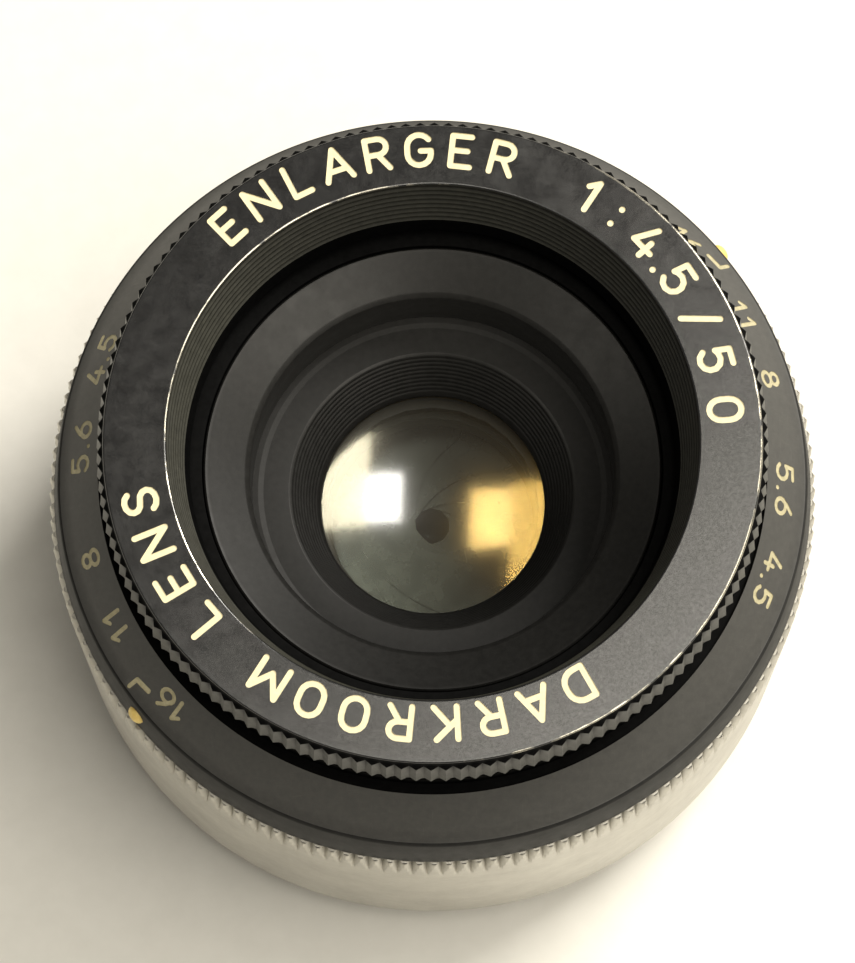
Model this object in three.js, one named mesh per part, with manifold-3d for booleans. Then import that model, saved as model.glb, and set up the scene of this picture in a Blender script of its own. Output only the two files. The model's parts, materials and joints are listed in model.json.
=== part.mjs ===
// A 50 mm f/4.5 enlarger lens on an M39 screw mount, lying on its rear rim.
// Units are millimetres. +Z is the optical axis, from the rear rim (z = 0) to the front face.
// The rest position is just past the smallest stop, f/16. Turning the front ring anticlockwise, seen from
// the front, opens the iris to f/4.5.

import * as THREE from 'three';
import { mergeVertices } from 'three/addons/utils/BufferGeometryUtils.js';
import Module from 'manifold-3d';

const wasm = await Module();
wasm.setup();

// Driving dimensions.
const HEIGHT = 31;
const BARREL_RADIUS = 21.05;
const NAME_RING_RADIUS = 17.82;
const THREAD_RADIUS = 19.5;
const THREAD_PITCH = 25.4 / 26;
const SHOULDER_Z = 4.3;
const BAND_FLOOR_Z = 20.6;
const SCALE_FLOOR_Z = 23.4;
const SCALE_RIM_RADIUS = 20.2;
const SCALE_LAND_Z = 26.4;
const GLASS_RIM_RADIUS = 6.26;

// The iris. A blade is an arc centred on the optical axis when the iris is open.
const BLADES = 10;
const OPEN_RADIUS = 5.5;
const CLOSED_RADIUS = 0.95;
const BLADE_OUTER = 8.7;
const PIN_CIRCLE = 10;
const LUG_RADIUS = 0.7;
const PIN_RADIUS = 0.25;
const DRIVE_PIN_ANGLE = 26;
const BLADE_START = 10;
const BLADE_LENGTH = 134;
const BLADE_THICKNESS = 0.07;
const BLADE_STEP = 0.11;
const LOWEST_BLADE_Z = 11.2;
const RING_TRAVEL = 59.2;
const BLADE_SWING = THREE.MathUtils.radToDeg(
  2 * Math.asin((OPEN_RADIUS - CLOSED_RADIUS) / (2 * PIN_CIRCLE)),
);

// The drive screw joins the aperture sleeve to the iris drive ring through a slot.
const DRIVE_ANGLE = 60;
const DRIVE_Z = 10.55;
const INDEX_ANGLE = 219.5;
const INDEX_Z = 22;

const LARGE = 48;
const MEDIUM = 36;
const SMALL = 24;

const toRadians = THREE.MathUtils.degToRad;

const metals = {
  blackAnodised: { color: 0x1b1b1c, roughness: 0.5, metalness: 0.6 },
  scaleBlack: { color: 0x2b2b2c, roughness: 0.55, metalness: 0.6 },
  mattBlack: { color: 0x101011, roughness: 0.85, metalness: 0.1 },
  satinChrome: { color: 0xb9b4a6, roughness: 0.35, metalness: 1 },
  brass: { color: 0xb08a4a, roughness: 0.35, metalness: 1 },
  bladeSteel: { color: 0x6a6a66, roughness: 0.4, metalness: 0.8 },
  steel: { color: 0x8f8f90, roughness: 0.3, metalness: 1 },
  glass: { color: 0xdfe6e2, roughness: 0.02, metalness: 0 },
  enamel: { color: 0xd8c27a, roughness: 0.35, metalness: 0 },
};

function part(name, geometry, look) {
  const mesh = new THREE.Mesh(geometry, new THREE.MeshStandardMaterial(metals[look]));
  mesh.name = name;
  return mesh;
}

function polar(radius, degrees) {
  const angle = toRadians(degrees);
  return new THREE.Vector2(radius * Math.cos(angle), radius * Math.sin(angle));
}

// Points along an arc of a circle, ends included.
function arc(centre, radius, fromDegrees, toDegrees, steps) {
  const points = [];
  for (let i = 0; i <= steps; i += 1) {
    const degrees = fromDegrees + ((toDegrees - fromDegrees) * i) / steps;
    points.push(polar(radius, degrees).add(centre));
  }
  return points;
}

// Keeps only positions and shared vertices, and turns the faces outwards.
function closed(geometry) {
  const bare = geometry.clone();
  for (const attribute of Object.keys(bare.attributes)) {
    if (attribute !== 'position') {
      bare.deleteAttribute(attribute);
    }
  }
  const merged = mergeVertices(bare, 1e-5);
  const position = merged.attributes.position;
  const index = [];
  const corners = [new THREE.Vector3(), new THREE.Vector3(), new THREE.Vector3()];
  let volume = 0;
  for (let i = 0; i < merged.index.count; i += 3) {
    const face = [merged.index.getX(i), merged.index.getX(i + 1), merged.index.getX(i + 2)];
    if (new Set(face).size === 3) {
      face.forEach((vertex, k) => corners[k].fromBufferAttribute(position, vertex));
      volume += corners[0].dot(corners[1].cross(corners[2]));
      index.push(...face);
    }
  }
  if (volume < 0) {
    index.reverse();
  }
  merged.setIndex(index);
  return merged;
}

// A turned ring or disc. The outline is a closed list of [radius, z] corners.
function turned(outline, segments) {
  const points = [...outline, outline[0]].map(([radius, z]) => new THREE.Vector2(radius, z));
  return closed(new THREE.LatheGeometry(points, segments).rotateX(Math.PI / 2));
}

// A flat plate from z to z + thickness, cut from an outline with holes.
function plate(outline, holes, z, thickness) {
  const shape = new THREE.Shape(outline);
  shape.holes = holes.map((hole) => new THREE.Path(hole));
  const flat = new THREE.ExtrudeGeometry(shape, { depth: thickness, bevelEnabled: false });
  return closed(flat.translate(0, 0, z));
}

function toSolid(geometry) {
  const ready = closed(geometry);
  return new wasm.Manifold(new wasm.Mesh({
    numProp: 3,
    vertProperties: new Float32Array(ready.attributes.position.array),
    triVerts: new Uint32Array(ready.index.array),
  }));
}

function fromSolid(solid) {
  const mesh = solid.getMesh();
  const geometry = new THREE.BufferGeometry();
  geometry.setAttribute('position', new THREE.BufferAttribute(mesh.vertProperties, 3));
  geometry.setIndex(new THREE.BufferAttribute(mesh.triVerts, 1));
  return geometry;
}

function joined(first, ...others) {
  return fromSolid(others.reduce((sum, other) => sum.add(toSolid(other)), toSolid(first)));
}

function cut(first, ...others) {
  return fromSolid(others.reduce((rest, other) => rest.subtract(toSolid(other)), toSolid(first)));
}

// Turns a shape made along +Z so that it points outwards along the radius at an angle.
function pointOutwards(geometry, degrees, z) {
  return geometry.rotateY(Math.PI / 2).rotateZ(toRadians(degrees)).translate(0, 0, z);
}

// Corners along a spherical lens surface from one radius to another.
function lensCurve(vertexZ, curveRadius, fromRadius, toRadius, steps) {
  const corners = [];
  for (let i = 0; i <= steps; i += 1) {
    const radius = fromRadius + ((toRadius - fromRadius) * i) / steps;
    const drop = Math.abs(curveRadius) - Math.sqrt(curveRadius ** 2 - radius ** 2);
    corners.push([radius, vertexZ - Math.sign(curveRadius) * drop]);
  }
  return corners;
}

// A lens element: its front surface falls away from the front vertex when frontCurve is positive.
function element(frontVertex, frontCurve, rearVertex, rearCurve, radius) {
  const steps = 3;
  const outline = [
    ...lensCurve(rearVertex, rearCurve, 0, radius, steps),
    ...lensCurve(frontVertex, frontCurve, radius, 0, steps),
  ];
  const points = outline.map(([r, z]) => new THREE.Vector2(r, z));
  return closed(new THREE.LatheGeometry(points, SMALL).rotateX(Math.PI / 2));
}

// One triangular ridge wound round the collar, fading into it at both ends.
function threadRidge(core, crest, pitch, fromZ, toZ) {
  const stepsPerTurn = SMALL;
  const root = core - 0.2;
  const fade = stepsPerTurn / 4;
  const steps = Math.round(((toZ - fromZ) / pitch) * stepsPerTurn);
  const vertices = [];
  const index = [];
  for (let i = 0; i <= steps; i += 1) {
    const angle = (2 * Math.PI * i) / stepsPerTurn;
    const z = fromZ + (pitch * i) / stepsPerTurn;
    const rise = Math.min(1, i / fade, (steps - i) / fade);
    const tip = root + 0.05 + (crest - root - 0.05) * rise;
    const half = pitch * 0.48;
    for (const [radius, height] of [[root, z - half], [tip, z], [root, z + half]]) {
      vertices.push(radius * Math.cos(angle), radius * Math.sin(angle), height);
    }
  }
  for (let i = 0; i < steps; i += 1) {
    for (let side = 0; side < 3; side += 1) {
      const a = 3 * i + side;
      const b = 3 * i + ((side + 1) % 3);
      index.push(a, a + 3, b, b, a + 3, b + 3);
    }
  }
  const last = 3 * steps;
  index.push(0, 1, 2, last, last + 2, last + 1);
  const geometry = new THREE.BufferGeometry();
  geometry.setAttribute('position', new THREE.Float32BufferAttribute(vertices, 3));
  geometry.setIndex(index);
  return geometry;
}

// Outer body: the M39 collar, the shoulder, the wall with its grip band, and two inner webs.
// The grip's fine grooves are cut into the top of the wall and run out below it.
function mountBarrel() {
  const collarBore = 17.4;
  const threadCore = 18.9;
  // A shallow groove round the thread's root lets a lens board lie flat on the shoulder.
  const reliefRadius = THREAD_RADIUS + 0.1;
  const reliefDepth = 0.3;
  const wallBore = 18.3;
  const bandBore = 18.9;
  const floorTop = 7;
  const body = turned([
    [collarBore, 0], [threadCore - 0.3, 0], [threadCore, 0.3], [threadCore, SHOULDER_Z + reliefDepth],
    [reliefRadius, SHOULDER_Z + reliefDepth], [reliefRadius, SHOULDER_Z],
    [BARREL_RADIUS - 0.3, SHOULDER_Z], [BARREL_RADIUS, SHOULDER_Z + 0.3],
    [BARREL_RADIUS, BAND_FLOOR_Z - 0.4], [BARREL_RADIUS - 0.2, BAND_FLOOR_Z],
    [bandBore, BAND_FLOOR_Z], [bandBore, 19.4], [16.2, 19.4], [16.2, 17.4],
    [wallBore, 17.4], [wallBore, floorTop], [13, floorTop], [13, 5], [collarBore, 5],
  ], LARGE);
  const ridge = threadRidge(threadCore, THREAD_RADIUS, THREAD_PITCH, 0.62, 3.6);
  return part('mount_barrel', joined(body, ridge), 'satinChrome');
}

function dotShape(radius, fromRadius, toRadius, degrees) {
  const length = toRadius - fromRadius;
  const disc = new THREE.CylinderGeometry(radius, radius, length, 12).rotateX(Math.PI / 2);
  disc.translate(0, 0, fromRadius + length / 2);
  return pointOutwards(disc, degrees, INDEX_Z);
}

// The band that carries the two index dots and keeps the sleeve's flange in place.
function indexBand() {
  const ring = turned([
    [18.9, BAND_FLOOR_Z + 0.05], [20.75, BAND_FLOOR_Z + 0.05], [20.35, SCALE_FLOOR_Z - 0.1],
    [16.1, SCALE_FLOOR_Z - 0.1], [16.1, 21.25], [18.9, 21.25],
  ], LARGE);
  const pits = [INDEX_ANGLE, INDEX_ANGLE - 180].map((angle) => dotShape(0.6, 19.9, 21.5, angle));
  return part('index_band', cut(ring, ...pits), 'blackAnodised');
}

function indexDot(name, angle) {
  return part(name, closed(dotShape(0.45, 20, 20.66, angle)), 'enamel');
}

// The tube that carries the glass and the iris, with a slot for the drive screw.
function innerBarrel() {
  const tube = turned([
    [11, 2.4], [12.95, 2.4], [12.95, 7.05], [13.6, 7.05], [13.6, 25.2], [12.4, 25.2],
    [12.4, 12.33], [11.55, 12.33], [11.55, 9.4], [11, 9.4],
  ], MEDIUM);
  const margin = 5;
  const from = DRIVE_ANGLE - margin;
  const to = DRIVE_ANGLE + RING_TRAVEL + margin;
  const centre = new THREE.Vector2();
  const outline = [...arc(centre, 10.8, from, to, 8), ...arc(centre, 14.2, to, from, 8)];
  const slot = plate(outline, [], DRIVE_Z - 0.65, 1.3);
  return part('inner_barrel', cut(tube, slot), 'mattBlack');
}

function barrelLockRing() {
  const ring = turned([[13, 3.5], [15.2, 3.5], [15.4, 3.7], [15.4, 4.95], [13, 4.95]], MEDIUM);
  const notches = [0, 180].map((angle) => {
    const notch = new THREE.BoxGeometry(1.4, 1.2, 1.2).translate(15.2, 0, 3.6);
    return notch.rotateZ(toRadians(angle));
  });
  return part('barrel_lock_ring', cut(ring, ...notches), 'blackAnodised');
}

// The stepped funnel in front of the glass.
function hoodRing() {
  return part('hood_ring', turned([
    [9.9, 20], [12.35, 20], [12.35, 25.1], [12.2, 25.15], [9.95, 23.75], [9.9, 23.6],
  ], MEDIUM), 'mattBlack');
}

function frontCell() {
  return part('front_cell', turned([
    [7, 12.95], [12.3, 12.95], [12.3, 19.95], [9.9, 19.95], [7.84, 19.85], [GLASS_RIM_RADIUS, 16.85],
    [GLASS_RIM_RADIUS, 16.65], [7, 16.65],
  ], MEDIUM), 'mattBlack');
}

function flatRing(name, inner, outer, fromZ, toZ, look) {
  const outline = [[inner, fromZ], [outer, fromZ], [outer, toZ], [inner, toZ]];
  return part(name, turned(outline, SMALL), look);
}

// A retaining ring with two spanner slots across its rear face.
function slottedRing(name, inner, outer, fromZ, toZ) {
  const outline = [[inner, fromZ], [outer, fromZ], [outer, toZ], [inner, toZ]];
  const depth = 0.4 * (toZ - fromZ);
  const slot = new THREE.BoxGeometry(3 * outer, 0.8, 2 * depth).translate(0, 0, fromZ);
  return part(name, cut(turned(outline, SMALL), slot), 'blackAnodised');
}

function rearCell() {
  return part('rear_cell', turned([
    [7.4, 1.2], [10.6, 1.2], [10.95, 1.5], [10.95, 9.35], [5.7, 9.35], [5.7, 8.95], [6.3, 8.95],
    [6.3, 2.4],
  ], MEDIUM), 'blackAnodised');
}

// Front ring: engraved face, grip edge, recessed neck, ribbed inner cone and threaded spigot.
function frontRing() {
  const gripFloor = 28.3;
  return part('front_ring', turned([
    [14.14, HEIGHT], [13.95, 30.2], [13, 26.2], [13.75, 26.2], [13.75, 24], [14.4, 24],
    [14.4, SCALE_LAND_Z + 0.05], [15.85, SCALE_LAND_Z + 0.05], [15.85, gripFloor],
    [17.5, gripFloor], [NAME_RING_RADIUS, gripFloor + 0.2], [17.6, HEIGHT - 0.42],
    [17.22, HEIGHT],
  ], LARGE), 'blackAnodised');
}

function scaleRing() {
  return part('scale_ring', turned([
    [15.55, SCALE_FLOOR_Z], [SCALE_RIM_RADIUS, SCALE_FLOOR_Z], [17.83, 25.8], [17.7, SCALE_LAND_Z],
    [15.55, SCALE_LAND_Z],
  ], LARGE), 'scaleBlack');
}

// The sleeve turns with the front ring and reaches down to the iris. Its flange is trapped
// between the barrel and the index band.
function apertureSleeve() {
  const tube = turned([
    [14.5, 9.7], [15.5, 9.7], [15.5, 19.6], [18.6, 19.6], [18.6, 21.1], [15.5, 21.1],
    [15.5, SCALE_LAND_Z], [14.5, SCALE_LAND_Z],
  ], MEDIUM);
  const hole = new THREE.CylinderGeometry(0.9, 0.9, 3, 12).rotateX(Math.PI / 2);
  pointOutwards(hole.translate(0, 0, 15), DRIVE_ANGLE, DRIVE_Z);
  return part('aperture_sleeve', cut(tube, hole), 'blackAnodised');
}

function driveScrew() {
  const headFloor = 15.55;
  const outline = [
    [0, 10.85], [0.4, 10.85], [0.4, 13.9], [0.6, 13.9], [0.6, headFloor], [1.25, headFloor],
    [1.25, 16], [0, 16],
  ];
  const points = outline.map(([radius, along]) => new THREE.Vector2(radius, along));
  const screw = new THREE.LatheGeometry(points, 12).rotateX(Math.PI / 2);
  const driver = new THREE.BoxGeometry(3, 0.4, 0.5).translate(0, 0, 16);
  const head = new THREE.BufferGeometry().copy(cut(screw, driver));
  return part('drive_screw', pointOutwards(head, DRIVE_ANGLE, DRIVE_Z), 'steel');
}

// Where a blade's drive pin is, seen from the drive ring, when that ring has turned by degrees.
function pinOnDriveRing(degrees) {
  const closing = BLADE_SWING * (1 - degrees / RING_TRAVEL);
  const pivot = polar(PIN_CIRCLE, 0);
  const pin = polar(PIN_CIRCLE, -DRIVE_PIN_ANGLE);
  return pin.rotateAround(pivot, -toRadians(closing)).rotateAround(new THREE.Vector2(),
    -toRadians(degrees));
}

// A cam slot with round ends along the pin's path.
function camSlot(turn) {
  const halfWidth = PIN_RADIUS + 0.1;
  const steps = 8;
  const overrun = 0.5;
  const left = [];
  const right = [];
  for (let i = 0; i <= steps; i += 1) {
    const degrees = -overrun + ((RING_TRAVEL + 2 * overrun) * i) / steps;
    const here = pinOnDriveRing(degrees);
    const along = pinOnDriveRing(degrees + 0.1).sub(here).normalize().multiplyScalar(halfWidth);
    const across = new THREE.Vector2(-along.y, along.x);
    if (i === 0) {
      left.push(here.clone().sub(along));
    }
    left.push(here.clone().add(across));
    right.unshift(here.clone().sub(across));
    if (i === steps) {
      left.push(here.clone().add(along));
    }
  }
  const centre = new THREE.Vector2();
  return [...left, ...right].map((point) => point.rotateAround(centre, toRadians(turn)));
}

// The drive ring has one cam slot for each blade and a notch for the drive screw's tip.
function irisDriveRing() {
  const outer = 11.4;
  const notchHalf = 3.4;
  const centre = new THREE.Vector2();
  const rim = [
    ...arc(centre, outer, DRIVE_ANGLE + notchHalf, DRIVE_ANGLE + 360 - notchHalf, MEDIUM),
    polar(10.75, DRIVE_ANGLE - notchHalf),
    polar(10.75, DRIVE_ANGLE + notchHalf),
  ];
  const holes = [arc(centre, 6.6, 0, 360 - 360 / SMALL, SMALL - 1)];
  for (let blade = 0; blade < BLADES; blade += 1) {
    holes.push(camSlot((360 / BLADES) * blade));
  }
  return part('iris_drive_ring', plate(rim, holes, 10.05, 1), 'brass');
}

// The seat plate has a pivot hole for each blade. The last closed blade edge is well inside it.
function irisSeatPlate() {
  const centre = new THREE.Vector2();
  const holes = [arc(centre, OPEN_RADIUS + 0.2, 0, 350, MEDIUM - 1)];
  for (let blade = 0; blade < BLADES; blade += 1) {
    holes.push(arc(polar(PIN_CIRCLE, (360 / BLADES) * blade), PIN_RADIUS + 0.1, 0, 315, 7));
  }
  const rim = arc(centre, 12.25, 0, 350, MEDIUM - 1);
  return part('iris_seat_plate', plate(rim, holes, 12.38, 0.5), 'mattBlack');
}

// A blade's outline when the iris is open, with its pivot pin at the origin.
function bladeOutline() {
  const centre = new THREE.Vector2();
  const tail = (BLADE_OUTER + OPEN_RADIUS) / 2;
  const halfWidth = (BLADE_OUTER - OPEN_RADIUS) / 2;
  const points = [
    ...arc(centre, PIN_CIRCLE + LUG_RADIUS, -DRIVE_PIN_ANGLE, 0, 4),
    ...arc(polar(PIN_CIRCLE, 0), LUG_RADIUS, 60, 180, 2),
    ...arc(centre, OPEN_RADIUS, -BLADE_START, -BLADE_LENGTH, 12),
    ...arc(polar(tail, -BLADE_LENGTH), halfWidth, -BLADE_LENGTH - 135, -BLADE_LENGTH - 45, 2),
    ...arc(centre, BLADE_OUTER, -BLADE_LENGTH, -DRIVE_PIN_ANGLE - 6, 10),
    polar(PIN_CIRCLE, -DRIVE_PIN_ANGLE).add(polar(LUG_RADIUS, -DRIVE_PIN_ANGLE - 90)),
  ];
  return points.map((point) => point.sub(polar(PIN_CIRCLE, 0)));
}

// A blade with its pivot pin standing up into the seat plate and its drive pin hanging down
// into a cam slot. Each blade lies on its own level, so that no two ever touch.
function irisBlade(number) {
  const z = LOWEST_BLADE_Z + BLADE_STEP * (number - 1);
  const angle = (360 / BLADES) * (number - 1);
  const middle = z + BLADE_THICKNESS / 2;
  const pin = (fromZ, toZ, at) => {
    const rod = new THREE.CylinderGeometry(PIN_RADIUS, PIN_RADIUS, toZ - fromZ, 8);
    return rod.rotateX(Math.PI / 2).translate(at.x, at.y, (fromZ + toZ) / 2);
  };
  const drivePin = polar(PIN_CIRCLE, -DRIVE_PIN_ANGLE).sub(polar(PIN_CIRCLE, 0));
  const blade = joined(
    plate(bladeOutline(), [], z, BLADE_THICKNESS),
    pin(middle, 12.8, new THREE.Vector2()),
    pin(10.2, middle, drivePin),
  );
  const mesh = part(`iris_blade_${String(number).padStart(2, '0')}`, blade, 'bladeSteel');
  const pivot = polar(PIN_CIRCLE, angle);
  mesh.position.set(pivot.x, pivot.y, 0);
  mesh.rotation.z = toRadians(angle - BLADE_SWING);
  return mesh;
}

const lens = new THREE.Group();

const fixedBody = new THREE.Group();
fixedBody.add(
  mountBarrel(),
  indexBand(),
  indexDot('index_dot_left', INDEX_ANGLE),
  indexDot('index_dot_right', INDEX_ANGLE - 180),
  innerBarrel(),
  barrelLockRing(),
  hoodRing(),
  frontCell(),
);

const optics = new THREE.Group();
optics.add(
  part('front_element', element(17.2, 34, 14.78, -34, 6.9), 'glass'),
  flatRing('front_spacer', 6, 6.9, 14.5, 15.25, 'mattBlack'),
  part('middle_element', element(13.88, -42, 13.5, 60, 6.9), 'glass'),
  slottedRing('middle_retainer', 6, 6.9, 12.92, 13.08),
  part('rear_element_inner', element(8.1, -34, 6.9, 16, 6.2), 'glass'),
  part('rear_element_outer', element(6.87, 16, 3.3, -26, 6.2), 'glass'),
  slottedRing('rear_retainer', 5.5, 6.25, 2.7, 3.6),
  rearCell(),
);

const aperture = new THREE.Group();
aperture.add(
  frontRing(),
  scaleRing(),
  apertureSleeve(),
  driveScrew(),
  irisDriveRing(),
);

const iris = new THREE.Group();
iris.add(irisSeatPlate(), flatRing('iris_base_plate', 6.6, 11.4, 9.45, 9.95, 'mattBlack'));
for (let number = 1; number <= BLADES; number += 1) {
  iris.add(irisBlade(number));
}

lens.add(fixedBody, optics, aperture, iris);

export default lens;
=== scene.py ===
"""An enlarger lens: fine meshes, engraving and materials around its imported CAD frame.

Lengths are millimetres in the outlines and metres in Blender. A turned piece is an outline of
(radius, height) corners swept round the optical axis, which is +Z. Angles run anticlockwise
from +X, seen from the front.
"""

import json
import math

import bmesh
import bpy
import numpy as np
from mathutils import Matrix, Vector
from mathutils.geometry import delaunay_2d_cdt

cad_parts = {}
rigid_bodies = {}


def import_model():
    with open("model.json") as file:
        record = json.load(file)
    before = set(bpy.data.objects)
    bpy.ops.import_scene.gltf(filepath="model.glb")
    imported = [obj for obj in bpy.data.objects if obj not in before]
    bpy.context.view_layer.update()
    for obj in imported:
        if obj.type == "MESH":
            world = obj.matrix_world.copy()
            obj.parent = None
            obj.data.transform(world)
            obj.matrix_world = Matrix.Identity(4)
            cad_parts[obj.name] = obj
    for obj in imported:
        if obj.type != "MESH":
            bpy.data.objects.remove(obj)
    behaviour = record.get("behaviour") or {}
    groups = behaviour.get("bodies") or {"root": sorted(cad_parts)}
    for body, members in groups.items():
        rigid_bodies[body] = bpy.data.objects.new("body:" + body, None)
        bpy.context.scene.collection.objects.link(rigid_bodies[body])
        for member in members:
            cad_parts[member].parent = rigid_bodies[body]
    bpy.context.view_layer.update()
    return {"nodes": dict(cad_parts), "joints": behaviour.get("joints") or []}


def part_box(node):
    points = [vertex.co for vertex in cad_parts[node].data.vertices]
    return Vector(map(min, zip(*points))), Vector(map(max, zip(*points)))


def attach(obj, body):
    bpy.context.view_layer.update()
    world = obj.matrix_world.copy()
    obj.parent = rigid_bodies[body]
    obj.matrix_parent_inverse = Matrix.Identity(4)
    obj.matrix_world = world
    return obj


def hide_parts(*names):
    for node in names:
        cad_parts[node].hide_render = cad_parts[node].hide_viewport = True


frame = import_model()

MM = 0.001


def high(node):
    """The highest corner of a CAD node's box, in millimetres."""
    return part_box(node)[1] / MM


def low(node):
    """The lowest corner of a CAD node's box, in millimetres."""
    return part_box(node)[0] / MM


# Driving dimensions, read from the frame.
FRONT_Z = high("front_ring").z
NAME_RING = high("front_ring").x
BARREL_RADIUS = high("mount_barrel").x
BARREL_TOP = high("mount_barrel").z
SCALE_FLOOR = low("scale_ring").z
SCALE_LAND = high("scale_ring").z
SCALE_RIM = high("scale_ring").x
BAND_TOP = high("index_band").z
CELL_TOP = high("front_cell").z
HOOD_TOP = high("hood_ring").z

# Details that the CAD leaves plain.
NAME_TEETH = 144
GRIP_TEETH = 165
FACE_OUTER = 17.2
FACE_INNER = 14.07
CONE_TOP_RADIUS = 17.83
CONE_TOP_Z = 25.8
BAND_BORE = 18.9
THREAD_CORE = 18.9
THREAD_DEPTH = 0.6
THREAD_PITCH = 25.4 / 26
SHOULDER_Z = 4.3
GLASS_RIM = 6.26
OPEN_RADIUS = 5.5
CLOSED_RADIUS = 0.95
BLADE_OUTER = 8.7
PIN_CIRCLE = 10.0
DRIVE_PIN_ANGLE = 26
BLADE_LENGTH = 134
MARK_16 = 217.6
SCALE_SPREAD = 56.2

# ---------------------------------------------------------------- mesh building


def polar(radius, degrees):
    angle = math.radians(degrees)
    return np.array([radius * math.cos(angle), radius * math.sin(angle)])


def bow(centre, radii, start, end, steps=8):
    """Points along an ellipse's arc, ends included."""
    angles = np.radians(np.linspace(start, end, steps + 1))
    return [(centre[0] + radii[0] * math.cos(a), centre[1] + radii[1] * math.sin(a)) for a in angles]


def soften(outline, size=0.06, closed=True):
    """Rounds every corner of an outline a little, so that its edges catch the light."""
    points = [np.array(p, float) for p in outline]
    count = len(points)
    result = []
    for i, corner in enumerate(points):
        if not closed and i in (0, count - 1):
            result.append(corner)
            continue
        before, after = points[i - 1] - corner, points[(i + 1) % count] - corner
        reach = [min(size, 0.4 * np.linalg.norm(side)) for side in (before, after)]
        start = corner + before / np.linalg.norm(before) * reach[0]
        end = corner + after / np.linalg.norm(after) * reach[1]
        result += [start, 0.25 * start + 0.5 * corner + 0.25 * end, end]
    return result


def ridges(start, end, count, depth):
    """Fine turned ridges along the line from start to end, cut towards its left."""
    start, end = np.array(start, float), np.array(end, float)
    along = end - start
    side = np.array([-along[1], along[0]]) / np.linalg.norm(along)
    result = []
    for i in range(count):
        result.append(start + along * (i + 0.15) / count)
        result.append(start + along * (i + 0.5) / count + side * depth)
        result.append(start + along * (i + 0.85) / count)
    return result


def finish_mesh(name, build, materials, sharp=34, level_at=None):
    """Turns a bmesh into an object with smooth faces and sharp corners.

    Faces lying at the height level_at are shaded flat.
    """
    bmesh.ops.remove_doubles(build, verts=build.verts, dist=2e-7)
    bmesh.ops.dissolve_degenerate(build, edges=build.edges, dist=1e-8)
    bmesh.ops.recalc_face_normals(build, faces=build.faces)
    mesh = bpy.data.meshes.new(name)
    build.to_mesh(mesh)
    build.free()
    for material in materials:
        mesh.materials.append(material)
    mesh.shade_smooth()
    mesh.set_sharp_from_angle(angle=math.radians(sharp))
    if level_at is not None:
        for face in mesh.polygons:
            if abs(face.center.z - level_at * MM) < 1e-6:
                face.use_smooth = False
    piece = bpy.data.objects.new(name, mesh)
    bpy.context.scene.collection.objects.link(piece)
    return piece


def add_faces(build, vertices, faces, slots=None):
    """Adds millimetre vertices and faces, with a material slot for each face."""
    made = [build.verts.new(Vector(v) * MM) for v in vertices]
    for i, face in enumerate(faces):
        if len(set(face)) < 3:
            continue
        new = build.faces.new([made[k] for k in face])
        new.material_index = slots[i] if slots is not None else 0


def sweep(build, outline, segments, relief=None, closed=True, zone=None):
    """Sweeps an outline round the axis. relief moves points outwards, zone picks material slots."""
    profile = np.array(outline, float)
    count = len(profile)
    angles = np.arange(segments) * 2 * math.pi / segments
    radius = np.repeat(profile[:, :1], segments, axis=1)
    height = np.repeat(profile[:, 1:], segments, axis=1)
    if relief is not None:
        radius = radius + relief(radius, height, angles[None, :])
    vertices = np.stack([radius * np.cos(angles), radius * np.sin(angles), height], -1).reshape(-1, 3)
    faces, slots = [], []
    for i in range(count if closed else count - 1):
        j = (i + 1) % count
        middle = (profile[i] + profile[j]) / 2
        slot = zone(*middle) if zone else 0
        for s in range(segments):
            t = (s + 1) % segments
            faces.append((i * segments + s, i * segments + t, j * segments + t, j * segments + s))
            slots.append(slot)
    add_faces(build, vertices, faces, slots)


def turned(name, outline, segments, materials, relief=None, zone=None, round_off=0.06, sharp=34):
    """A closed turned piece."""
    build = bmesh.new()
    sweep(build, soften(outline, round_off) if round_off else outline, segments, relief, True, zone)
    return finish_mesh(name, build, materials, sharp)


def vee_grooves(count, root_at, full_depth):
    """A relief of V grooves. root_at gives the grooves' bottom radius at a height."""
    def relief(radius, height, angles):
        phase = np.abs(((angles * count / (2 * math.pi)) % 1) - 0.5) * 2
        return np.minimum(0, root_at(height) + full_depth * phase - radius)
    return relief


# ---------------------------------------------------------------- engraving

OVAL = bow((0.37, 0.63), (0.37, 0.37), 0, 180) + bow((0.37, 0.37), (0.37, 0.37), 180, 360) + [(0.74, 0.63)]

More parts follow.
